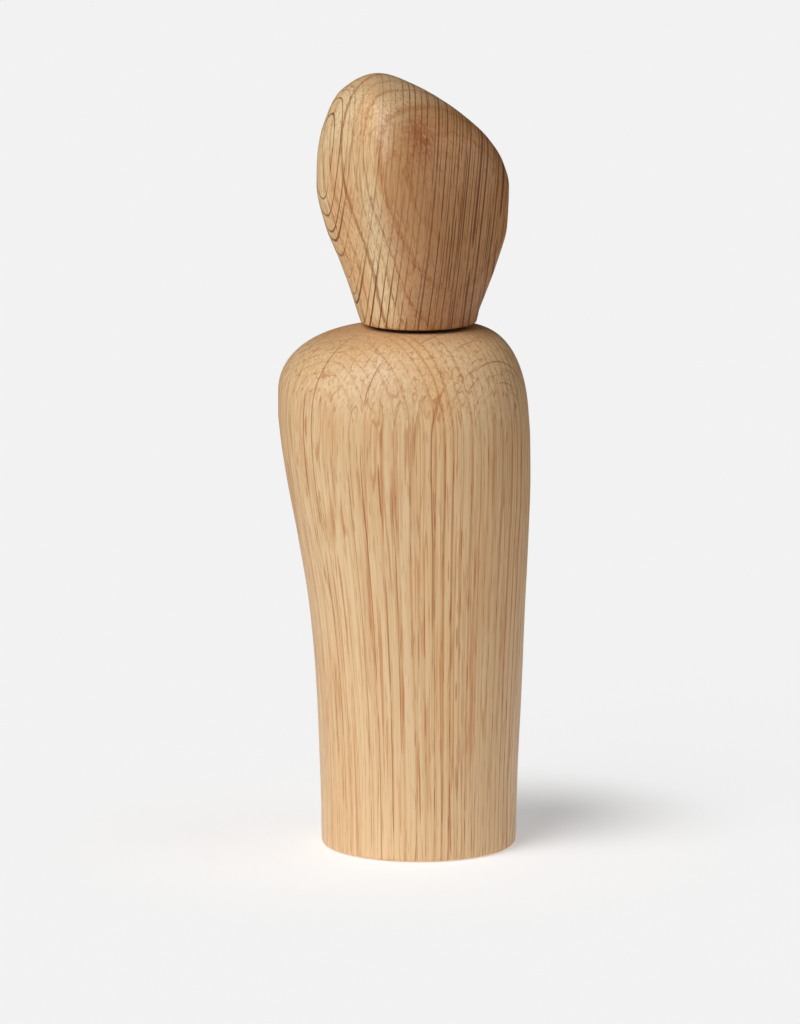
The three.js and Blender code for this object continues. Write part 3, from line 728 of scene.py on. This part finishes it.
# --- turning grinding cone on its carrier
ROWS = [(6.0, 11.7, 11.1, 0.0), (9.0, 11.2, 10.2, -0.05), (12.5, 10.2, 8.6, -0.12), (17.6, 7.4, 6.0, -0.28)]
zs = [6.0 + 11.6 * i / 28 for i in range(29)]
rings = [circle(5.25, 6.0, SEGF)] + [fluted(ROWS, z, SEGF, 1) for z in zs] + [circle(5.25, 17.6, SEGF), circle(5.0, 17.35, SEGF), circle(5.0, 6.25, SEGF)]
loft("grinding_cone", rings, "rotor", "rotor_cone", CERAMIC, closed=True)
rings = [[(x, y, z) for x, y, _ in square(h, 0, 96)] for h, z in ((2.5, 12.0), (2.3, 11.8), (2.3, 4.8), (2.5, 4.6))]
rings = [circle(r, z, 96) for r, z in rounded([(2.9, 4.6, 0), (7.5, 4.6, 0.3), (7.5, 5.7, 0.2), (4.7, 5.7, 0), (4.7, 12.0, 0.2), (2.9, 12.0, 0)])] + rings
loft("carrier", rings, "rotor", "rotor_carrier", PLASTIC, closed=True)


def ribbed(r, z, depth, segs=TEETH * 16):
    out = []
    for n in range(segs):
        phi = 2 * math.pi * n / segs
        q = r - depth * max(0.0, math.cos(TEETH * phi)) ** 2.2
        out.append((q * math.sin(phi), -q * math.cos(phi), z))
    return out


S = TEETH * 16
rings = [circle(4.4, 1.2, S), circle(8.0, 1.2, S), ribbed(8.85, 1.2, 0.5), ribbed(9.2, 1.27, 0.62), ribbed(9.42, 1.45, 0.7), ribbed(9.5, 1.75, 0.7),
         ribbed(9.5, 3.6, 0.7), ribbed(9.38, 3.85, 0.7), ribbed(9.05, 4.05, 0.5), circle(8.4, 4.3, S), circle(2.35, 4.3, S), circle(2.1, 4.1, S),
         circle(2.1, 2.9, S), circle(4.0, 2.9, S), circle(4.2, 2.7, S), circle(4.2, 1.4, S)]
loft("knob", rings, "knob", "adjuster_knob", PLASTIC, closed=True)

# --- shaft: threaded tip, square drive, journal with collar, long square that turns the head
rings = [[(0, 0, 1.2)], circle(1.3, 1.2, 96), circle(1.5, 1.3, 96)]
for i in range(76):
    z = 1.4 + 3.5 * i / 75
    rings.append([((1.53 + 0.27 * min(1.0, (z - 1.4) / 0.4, (4.9 - z) / 0.4) * max(0.0, 1 - abs((z / 0.8 - k / 96) % 1.0 - 0.5) / 0.42)) * t[0],
                   (1.53 + 0.27 * min(1.0, (z - 1.4) / 0.4, (4.9 - z) / 0.4) * max(0.0, 1 - abs((z / 0.8 - k / 96) % 1.0 - 0.5) / 0.42)) * t[1], z)
                  for k, t in ((k, (math.sin(2 * math.pi * k / 96), -math.cos(2 * math.pi * k / 96))) for k in range(96))])
rings += [circle(1.5, 5.0, 96), square(1.7, 5.0, 96), square(2.0, 5.3, 96), square(2.0, 20.1, 96)]
rings += [circle(r, z, 96) for r, z in ((2.75, 20.1), (2.9, 20.25), (2.9, 25.8), (4.4, 25.8), (4.55, 25.87), (4.6, 26.0), (4.6, 27.05), (4.55, 27.2), (4.4, 27.3))]
rings += [square(2.75, 27.3, 96), square(2.75, 157.0, 96), square(2.45, 157.55, 96), square(2.05, 158.0, 96), [(0, 0, 158.0)]]
loft("shaft", rings, "drive", "drive_shaft", ALU)

# --- open retaining clip under the knob
rings, N = [], 60
sec = [(2.1, 1.68), (2.18, 1.6), (3.12, 1.6), (3.2, 1.68), (3.2, 1.92), (3.12, 2.0), (2.18, 2.0), (2.1, 1.92)]
for i in range(N + 1):
    phi = math.radians(110 + 320 * i / N)
    rings.append([(r * math.sin(phi), -r * math.cos(phi), z) for r, z in sec])
ends = [[(2.65 * math.sin(math.radians(a)), -2.65 * math.cos(math.radians(a)), 1.8)] for a in (110, 430)]
loft("clip", [ends[0]] + rings + [ends[1]], "drive", "end_clip", STEEL)

# --- rotor spring: stretches between the cone's carrier and the hub
rings, N = [], 5 * 36
for i in range(N + 1):
    phi = 2 * math.pi * i / 36
    rad = (math.cos(phi), math.sin(phi))
    z = 12.72 + 6.83 * i / N
    w = 0.4 * min(1.0, 0.72 + min(i, N - i) * 0.08)
    rings.append([((3.9 + w * math.cos(t)) * rad[0], (3.9 + w * math.cos(t)) * rad[1], z + w * math.sin(t))
                  for t in (2 * math.pi * k / 14 for k in range(14))])
ends = [[(3.9 * math.cos(p), 3.9 * math.sin(p), z)] for p, z in ((0.0, 12.72), (2 * math.pi * N / 36, 19.55))]
ob = skin("spring", [ends[0]] + rings + [ends[1]])
ob.data.polygons.foreach_set("use_smooth", [True] * len(ob.data.polygons))
ob.data.materials.append(STEEL)
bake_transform(ob)
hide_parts("rotor_spring")

# --- head insert: spigot, ring groove, flange, and a square socket for the shaft
rings = [circle(r, z, 128) for r, z in rounded([
    (4.0, 122.5, 0), (9.7, 122.5, 0.2), (10.2, 123.0, 0.2), (10.2, 127.0, 0.1), (9.4, 127.0, 0.1), (9.4, 129.0, 0.1), (10.2, 129.0, 0.1),
    (10.2, 134.25, 0.1), (12.6, 134.25, 0.12), (12.6, 134.75, 0.12), (5.2, 134.75, 0.1), (5.2, 152.0, 0.3), (4.6, 152.0, 0)])]
rings += [square(h, z, 128) for h, z in ((3.3, 152.0), (3.05, 151.7), (3.05, 123.1), (3.4, 122.5))]
ob = skin("insert", rings, closed=True)
combine(ob, [skin("hole", turned([(0, 121.0, 0), (2.0, 121.0, 0), (2.0, 125.0, 0), (1.3, 125.0, 0), (1.3, 136.0, 0), (0, 136.0, 0)], 36), centre=(side * 7.6, 0.0))
             for side in (-1, 1)], "DIFFERENCE")
finish_piece(ob, "head", "head_insert", PLASTIC)
loft("seal", [circle(10.05 + 0.42 * math.cos(t), 128 + 0.6 * math.sin(t), 160) for t in (2 * math.pi * k / 20 for k in range(20))],
     "head", "head_o_ring", RUBBER, closed=True)
for k, side in enumerate((-1, 1)):
    loft(f"head_fixing_{k + 1}", wood_screw((122.9, 123.4, 1.2, 1.7), 124.7, 146.6, 145.4, 1.0), "head", f"head_screw_{k + 1}", STEEL, centre=(side * 7.6, 0.0))

# ------------------------------------------------------------------ floor, light, camera
def plane(name, size, loc, mat):
    me = bpy.data.meshes.new(name)
    s = size / 2
    me.from_pydata([(-s, -s, 0), (s, -s, 0), (s, s, 0), (-s, s, 0)], [], [(0, 1, 2, 3)])
    ob = bpy.data.objects.new(name, me)
    ob.location = loc
    ob.data.materials.append(mat)
    bpy.context.scene.collection.objects.link(ob)
    return ob


# a pale table top, even to the camera; to the object it is bright around the foot and dim further out
gf = G("floor_paint")
FLOOR_ALBEDO, FLOOR_GLOW, FLOOR_LIT = 0.78, 0.398, 0.890
gf.bsdf.inputs["Roughness"].default_value = 0.9
gf.bsdf.inputs["Specular IOR Level"].default_value = 0.0
lpf = gf.node("ShaderNodeLightPath")
tcf = gf.node("ShaderNodeTexCoord")
dim = gf.step(gf.v("LENGTH", tcf.outputs["Object"]), 0.05, 0.5, 0.0, 1.0)
dim = gf.m("MULTIPLY", dim, gf.m("SUBTRACT", 1.0, lpf.outputs["Is Camera Ray"]))
# the shadow stays close to the foot: further out the table takes less of its brightness from the lamps
far = gf.step(gf.v("LENGTH", tcf.outputs["Object"]), 0.050, 0.104, 0.0, 1.0)
FAR_ALBEDO = 0.10
far_glow = FLOOR_LIT - FAR_ALBEDO * (FLOOR_LIT - FLOOR_GLOW) / FLOOR_ALBEDO
base = gf.mix(far, (FLOOR_ALBEDO,) * 3, (FAR_ALBEDO,) * 3)
# painted shade around the foot: the table's glow is a little lower there, which offsets the wood's bounce light and
# deepens the contact shadow
painted_foot_shade = gf.step(gf.v("LENGTH", tcf.outputs["Object"]), 0.030, 0.080, 0.0, 1.0)
glow = gf.mix(painted_foot_shade, (FLOOR_GLOW - 0.024, FLOOR_GLOW - 0.019, FLOOR_GLOW - 0.010), (FLOOR_GLOW,) * 3)
glow = gf.mix(far, glow, (far_glow,) * 3)
gf.put(gf.bsdf.inputs["Base Color"], gf.mix(dim, base, (0.20, 0.125, 0.08)))
gf.put(gf.bsdf.inputs["Emission Color"], gf.mix(dim, glow, (0.126, 0.080, 0.050)))
gf.bsdf.inputs["Emission Strength"].default_value = 1.0
# from below the table is clear, so that the foot can be looked at
see = gf.node("ShaderNodeMixShader")
gf.put(see.inputs[0], gf.node("ShaderNodeNewGeometry").outputs["Backfacing"])
gf.put(see.inputs[1], gf.bsdf.outputs[0])
gf.put(see.inputs[2], gf.node("ShaderNodeBsdfTransparent").outputs[0])
gf.put(gf.out.inputs[0], see.outputs[0])
plane("floor", 40.0, (0, 0, -0.0002), gf.mat)

sc = bpy.context.scene
world = bpy.data.worlds.new("studio")
sc.world = world
world.use_nodes = True
wt = world.node_tree
bg = wt.nodes["Background"]
lp = wt.nodes.new("ShaderNodeLightPath")
mr = wt.nodes.new("ShaderNodeMapRange")
wt.links.new(lp.outputs["Is Camera Ray"], mr.inputs[0])
mr.inputs[3].default_value = 0.04
mr.inputs[4].default_value = 0.888
wt.links.new(mr.outputs[0], bg.inputs[1])
bg.inputs[0].default_value = (1, 1, 1, 1)


def sun(name, az, elevation, width, strength):
    """a broad soft light, even over the whole table: azimuth 0 = from the front, -90 = from the left"""
    from mathutils import Vector
    d = bpy.data.lights.new(name, "SUN")
    d.angle = math.radians(width)
    d.energy = strength
    ob = bpy.data.objects.new(name, d)
    sc.collection.objects.link(ob)
    ax, ay, _ = azimuth(az)
    ce, se = math.cos(math.radians(elevation)), math.sin(math.radians(elevation))
    ob.rotation_euler = Vector((ax * ce, ay * ce, se)).to_track_quat("Z", "Y").to_euler()
    ob.location = (ax * ce, ay * ce, se)
    return ob


sun("key", -44, 36, 50, 1.88)
sun("top", -34, 61, 22, 0.64)
sun("fill", 78, 18, 60, 0.44)

cam = bpy.data.cameras.new("camera")
cam.lens = 275.6
cam.sensor_width = 36.0
cam.clip_end = 50
co = bpy.data.objects.new("camera", cam)
co.location = (-0.00475 + AX * MM, -1.967, 0.4469)
co.rotation_euler = (math.radians(90 - 10.4), 0, 0)
sc.collection.objects.link(co)
sc.camera = co
sc.view_settings.view_transform = "Standard"
